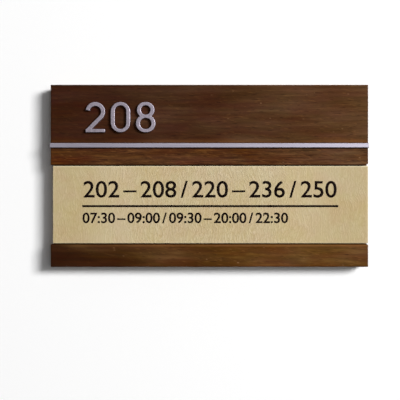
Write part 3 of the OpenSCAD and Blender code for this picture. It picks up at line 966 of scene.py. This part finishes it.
# %% Plywood
# To the eye, birch plywood is pale, with fine straight grain, and striped on its edges.
VENEER_MM = (24.0, 6.0, 1.1)
VENEER_STOPS = [(0.3, "#c39f6d"), (0.5, "#d3b484"), (0.75, "#dfc69b")]
PLY_MM = 1.2
PLY_STOPS = [(0.35, "#a87f50"), (0.65, "#d0b080")]
PLY_WAVER = {"Distortion": 0.4, "Detail Scale": 40.0}
FACE_ON = 0.7
PLYWOOD_ROUGHNESS = (0.6, 0.75)
PLYWOOD_BUMP = {"Strength": 0.25, "Distance": 0.08 * MM}
birch_plywood, tree, shader = new_material("birch_plywood")
coords = add(tree, "TexCoord").outputs
veneer_place = add(tree, "Mapping", {"Vector": coords["Object"], "Scale": cell_scale(VENEER_MM)})
veneer = add(tree, "TexNoise", {"Vector": veneer_place, "Scale": 1.0, "Detail": 4.0})
face_tone = add(tree, "ValToRGB", [veneer], VENEER_STOPS)
# A pale ply and a darker one make up one wave.
plies = {"Vector": coords["Object"], "Scale": WAVE_LONG / (2 * PLY_MM * MM), **PLY_WAVER}
ply = add(tree, "TexWave", plies, wave_type="BANDS", bands_direction="Y").outputs["Fac"]
edge_tone = add(tree, "ValToRGB", [ply], PLY_STOPS)
looks = add(tree, "SeparateXYZ", [coords["Normal"]]).outputs["Y"]
looks = add(tree, "Math", [looks], operation="ABSOLUTE")
on_face = add(tree, "Math", (looks, FACE_ON), operation="GREATER_THAN")
colour = add(tree, "Mix", (on_face, edge_tone, face_tone), data_type="RGBA")
dull = add(tree, "MapRange", (veneer, *NOISE_ENDS, *PLYWOOD_ROUGHNESS))
bump = add(tree, "Bump", {"Height": veneer, **PLYWOOD_BUMP})
plug(shader, {"Base Color": colour, "Roughness": dull, "Normal": bump})
nodes["back_board"].material_slots[0].material = birch_plywood
print("plywood nodes:", len(tree.nodes))

# %% [markdown]
# The panel's core is fibreboard, which is only wood fibre and glue pressed together. A wood grain would be
# wrong here, because it has none that runs one way, so an even, fine noise is all it needs, for its colour,
# its dullness and its rough bump.

# %% Fibreboard
# To the eye, fibreboard is an even, dusty brown. Real fibres are about 0.1 mm wide, and these are drawn
# coarser so that they show.
DUST_MM = (0.55, 0.55, 0.55)
DUST_STOPS = [(0.3, "#6d5038"), (0.55, "#83644a"), (0.75, "#9a7b5c")]
DUST_ROUGHNESS = (0.75, 0.9)
DUST_BUMP = {"Strength": 0.2, "Distance": 0.05 * MM}
fibreboard, tree, shader = new_material("fibreboard")
spot = add(tree, "TexCoord").outputs["Object"]
dust_place = add(tree, "Mapping", {"Vector": spot, "Scale": cell_scale(DUST_MM)})
dust = add(tree, "TexNoise", {"Vector": dust_place, "Scale": 1.0, "Detail": 4.0})
colour = add(tree, "ValToRGB", [dust], DUST_STOPS)
dull = add(tree, "MapRange", (dust, *NOISE_ENDS, *DUST_ROUGHNESS))
bump = add(tree, "Bump", {"Height": dust, **DUST_BUMP})
plug(shader, {"Base Color": colour, "Roughness": dull, "Normal": bump})
nodes["panel_core"].material_slots[0].material = fibreboard
print("fibreboard nodes:", len(tree.nodes))

# %% [markdown]
# The screws, pins and catch plates are zinc-plated steel, whose crystals leave a faint blue and straw
# cloud. The catch magnets are nickel plated, which is smoother and warmer. Each could have a material of
# its own making, but they differ only in tones, cloud size and gloss, so one function makes both.

# %% The plated metals
STEEL_NODES = ("header_screws", "upper_rail_screws", "lower_rail_screws", "numeral_pins", "stop_pin",
               "catch_plates")


def plated_metal(name, tones, cloud_mm, roughness):
    """Plated metal: grey with a slow cloud of colour, and gloss that changes with it."""
    material, tree, shader = new_material(name)
    spot = add(tree, "TexCoord").outputs["Object"]
    place = add(tree, "Mapping", {"Vector": spot, "Scale": cell_scale((cloud_mm,) * 3)})
    cloud = add(tree, "TexNoise", {"Vector": place, "Scale": 1.0, "Detail": 3.0})
    colour = add(tree, "ValToRGB", [cloud], list(zip(NOISE_ENDS, tones)))
    dull = add(tree, "MapRange", (cloud, *NOISE_ENDS, *roughness))
    plug(shader, {"Base Color": colour, "Metallic": 1.0, "Roughness": dull})
    return material


zinc_steel = plated_metal("zinc_plated_steel", ("#b9bfc9", "#d3d0c4"), cloud_mm=1.6, roughness=(0.28, 0.42))
nickel = plated_metal("nickel_plate", ("#c4c1b8", "#d8d5cc"), cloud_mm=2.5, roughness=(0.15, 0.25))
for node in STEEL_NODES:
    nodes[node].material_slots[0].material = zinc_steel
nodes["catch_magnets"].material_slots[0].material = nickel
print("plated pieces:", len(STEEL_NODES) + 1)
